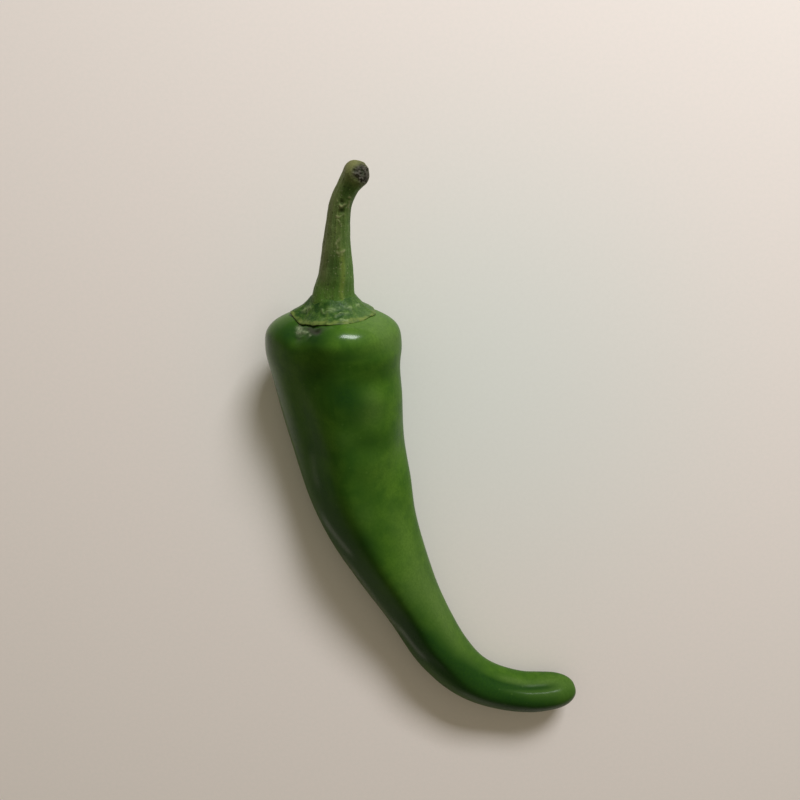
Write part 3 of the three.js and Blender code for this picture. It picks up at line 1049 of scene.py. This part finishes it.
# pale healed skin, with painted glints on its wrinkles
healed_and_glint = calc(tree, "MULTIPLY", mask(tree, "pale_scar_and_glint"), calc(tree, "MULTIPLY_ADD", soft["Grain"], 0.7, 0.2))
colour = layered(tree, (0.038, 0.106, 0.008), [
    (soft["Patches"], 1.0, (0.069, 0.156, 0.012)),
    (run, 0.3, (0.075, 0.160, 0.014)),
    # painted sheen and lit patches on the side towards the lamp
    ("painted_sheen", 0.75, (0.132, 0.212, 0.050)),
    # a deeper green, and painted shade on the sides away from the lamp
    ("deep_green_and_shade", 0.95, (0.0125, 0.045, 0.0075)),
    (soft["Grain"], 0.3, (0.026, 0.078, 0.005)),
    (dots, 0.15, (0.12, 0.21, 0.04)),
    # the scar, with painted shade in the gap under the calyx
    ("scar", 0.85, (0.026, 0.026, 0.018)),
    (healed_and_glint, 1.0, (0.32, 0.38, 0.22)),
])
roughness = calc(tree, "MULTIPLY_ADD", soft["Patches"], 0.06, 0.26)
roughness = calc(tree, "MULTIPLY_ADD", soft["Grain"], 0.06, roughness)
height = effect(tree, skin_cells, place, Cell_Size=0.32)[0]
finish_look(tree, shader, colour, roughness, height, depth=0.010, shine=0.03)
tree.links.new(calc(tree, "MULTIPLY", mask(tree, "wax"), 0.7), shader.inputs["Coat Weight"])
shader.inputs["Coat Roughness"].default_value = 0.16

# %% [markdown]
# ## Calyx leaf
#
# The calyx has begun to dry. Its rim has gone pale yellow and its veins a little less so, the blade
# between them is still a dull green, brighter on the lit side, and the old marks on it are pale.

# %% The calyx's material
tree, shader, place = start_look(calyx_leaf)
at = add(tree, "ShaderNodeSeparateXYZ", {0: place}).outputs
soft = effect(tree, patches, place, Patch_Size=1.1, Grain_Size=0.3)
dots = effect(tree, specks, place, Spacing=0.7, Size=0.2, Share=0.5)[0]
edge = calc(tree, "MULTIPLY", mask(tree, "rim"), calc(tree, "MULTIPLY_ADD", soft["Patches"], 0.5, 0.25))
colour = layered(tree, (0.016, 0.056, 0.006), [
    (soft["Patches"], 1.0, (0.066, 0.134, 0.020)),
    (spread(tree, at[0], 1.5, 6.0), 0.45, (0.105, 0.190, 0.045)),
    ("vein", 0.35, (0.13, 0.19, 0.04)),
    (soft["Grain"], 0.45, (0.016, 0.050, 0.007)),
    (dots, 0.35, (0.17, 0.23, 0.08)),
    (edge, 1.0, (0.17, 0.21, 0.05)),
    ("dry", 0.65, (0.24, 0.31, 0.13)),
])
roughness = calc(tree, "MULTIPLY_ADD", soft["Grain"], 0.2, 0.38)
height = effect(tree, skin_cells, place, Cell_Size=0.28)[0]
finish_look(tree, shader, colour, roughness, height, depth=0.04, shine=0.12)

# %% [markdown]
# ## Stalk bark
#
# The stalk is an olive green with streaks along it: browner on its shaded side, greener on its lit
# side and fresh green at its foot. Pale corky scars run over its top, fine pale and dark specks sit
# all over it, and the broken end has dried to a grey brown.

# %% The stalk's material
tree, shader, place = start_look(stalk_bark)
at = add(tree, "ShaderNodeSeparateXYZ", {0: place}).outputs
soft = effect(tree, patches, place, Patch_Size=1.6, Grain_Size=0.28)
run = effect(tree, streaks, place, Width=0.45, Slimness=9.0)[0]
broad = effect(tree, streaks, place, Width=1.2, Slimness=6.0)[0]
pale_dots = effect(tree, specks, place, Spacing=0.5, Size=0.3, Share=0.55)[0]
dark_dots = effect(tree, specks, place, Spacing=0.65, Size=0.32, Share=0.4)[0]
foot = calc(tree, "SUBTRACT", 1.0, spread(tree, at[2], 3.0, 13.0))
shaded = calc(tree, "MULTIPLY", spread(tree, at[0], -0.5, 2.2), spread(tree, at[2], 3.0, 8.0))
lit = spread(tree, calc(tree, "MULTIPLY", at[0], -1.0), 0.2, 2.0)
colour = layered(tree, (0.095, 0.155, 0.034), [
    (soft["Patches"], 1.0, (0.180, 0.250, 0.075)),
    (broad, 0.5, (0.060, 0.130, 0.022)),
    (run, 0.3, (0.19, 0.24, 0.060)),
    (soft["Grain"], 0.45, (0.048, 0.085, 0.018)),
    (foot, 0.6, (0.070, 0.165, 0.016)),
    (shaded, 0.6, (0.195, 0.215, 0.095)),
    (lit, 0.5, (0.072, 0.155, 0.026)),
    ("deep_green_and_shade", 0.6, (0.035, 0.085, 0.014)),
    ("stripe", 0.6, (0.21, 0.27, 0.050)),
    (pale_dots, 0.55, (0.27, 0.29, 0.15)),
    (dark_dots, 0.55, (0.036, 0.056, 0.016)),
    ("scar", 0.65, (0.36, 0.37, 0.18)),
    (spread(tree, at[2], 23.5, 26.5), 0.7, (0.135, 0.120, 0.040)),
])
dried = layered(tree, (0.026, 0.025, 0.017), [
    (soft["Grain"], 1.0, (0.088, 0.078, 0.060)),
    (pale_dots, 0.45, (0.22, 0.19, 0.16)),
])
# the broken end's dry colour, then painted shade in the pits and hollows
colour = layered(tree, colour, [("cut", 1.0, dried), ("pit_shade", 0.6, (0.025, 0.035, 0.012))])
roughness = calc(tree, "MULTIPLY_ADD", soft["Grain"], 0.2, 0.5)
height = calc(tree, "ADD", effect(tree, skin_cells, place, Cell_Size=0.22)[0], run)
finish_look(tree, shader, colour, roughness, height, depth=0.04, shine=0.15)

# %% [markdown]
# ## Paper
#
# The floor is only a stage, so it stays plain: a wide pale sheet with a faint mottle, a little
# warmer away from the pepper.

# %% Lay the paper
PAPER_HALF = 1.5
COOL_SPOT = (8.0, 18.0, 0.0)  # where the sheet is least warm, in millimetres
COOL_REACH = 80.0
paper_mesh = bpy.data.meshes.new("paper")
corners = [(x * PAPER_HALF, y * PAPER_HALF, cad_low.z) for x, y in ((-1, -1), (1, -1), (1, 1), (-1, 1))]
paper_mesh.from_pydata(corners, [], [(0, 1, 2, 3)])
paper = bpy.data.objects.new("paper", paper_mesh)
bpy.context.collection.objects.link(paper)
paper_look = bpy.data.materials.new("paper")
paper_look.use_nodes = True
paper_mesh.materials.append(paper_look)
tree = paper_look.node_tree
place = scaled(tree, add(tree, "ShaderNodeTexCoord").outputs["Object"], 1 / MM)
grain = effect(tree, patches, place, Patch_Size=12.0, Grain_Size=0.8)
away = add(tree, "ShaderNodeVectorMath", {0: place, 1: COOL_SPOT}, operation="DISTANCE").outputs["Value"]
colour = layered(tree, (0.80, 0.785, 0.75), [
    (spread(tree, away, 0.0, COOL_REACH), 1.0, (0.885, 0.780, 0.745)),
    (grain["Grain"], 0.12, (0.72, 0.70, 0.66)),
])
shader = tree.nodes["Principled BSDF"]
tree.links.new(colour, shader.inputs["Base Color"])
shader.inputs["Roughness"].default_value = 0.85

# %% [markdown]
# ## Back to the frame
#
# Each finished piece takes the place of one node of the CAD model: it rides on the frame's root
# body, and the node itself is hidden. The guides have done their work and go.

# %% Tie the pieces to the frame
for guide in (pod_spine, pod_outline, calyx_section, stalk_spine, stalk_outline):
    bpy.data.objects.remove(guide)
for piece, node, slot in (
    (pod, "pod", "pod_skin"), (calyx, "calyx", "calyx_leaf"), (stalk, "stalk", "stalk_bark"),
):
    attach(piece, "root")
    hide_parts(node)
